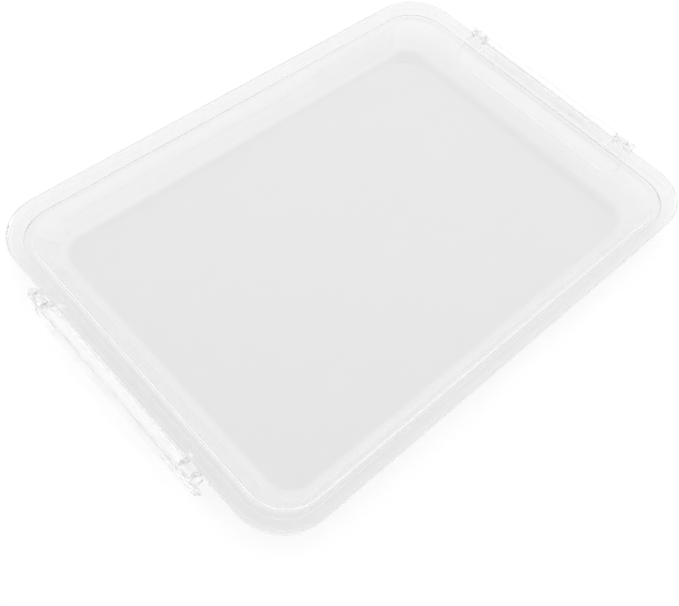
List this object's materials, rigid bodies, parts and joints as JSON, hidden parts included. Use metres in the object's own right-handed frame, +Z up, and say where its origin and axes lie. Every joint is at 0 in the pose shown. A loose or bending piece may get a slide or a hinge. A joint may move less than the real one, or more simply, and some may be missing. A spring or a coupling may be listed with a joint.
{
  "type": "sheet pan cover",
  "caption": "Clear shallow rectangular cover that fits over a sheet pan, with a hinged snap latch at each short end.",
  "frame": {"origin": "centre of the flat panel's outer face, which the cover rests on when it lies with its cavity up", "axes": "+X along the cover's length, +Y across its width, +Z up out of the cavity"},
  "size_m": [0.4841, 0.3314, 0.0371],
  "materials": {
    "clear_plastic": "clear, glossy",
    "frosted_plastic": "translucent white, satin",
    "pin_plastic": "clear"
  },
  "bodies": {
    "cover": {"cover_shell": "clear_plastic", "hinge_pin_right_front": "pin_plastic", "hinge_pin_right_rear": "pin_plastic", "hinge_pin_left_front": "pin_plastic", "hinge_pin_left_rear": "pin_plastic"},
    "right_latch": {"latch_right": "frosted_plastic"},
    "left_latch": {"latch_left": "frosted_plastic"}
  },
  "joints": [
    {"name": "right_latch_hinge", "type": "hinge", "parent": "cover", "child": "right_latch", "pos_m": [0.2368, 0, 0.0336], "axis": [0, -1, 0], "range_deg": [-6, 226]},
    {"name": "left_latch_hinge", "type": "hinge", "parent": "cover", "child": "left_latch", "pos_m": [-0.2368, 0, 0.0336], "axis": [0, 1, 0], "range_deg": [-38, 194]}
  ]
}
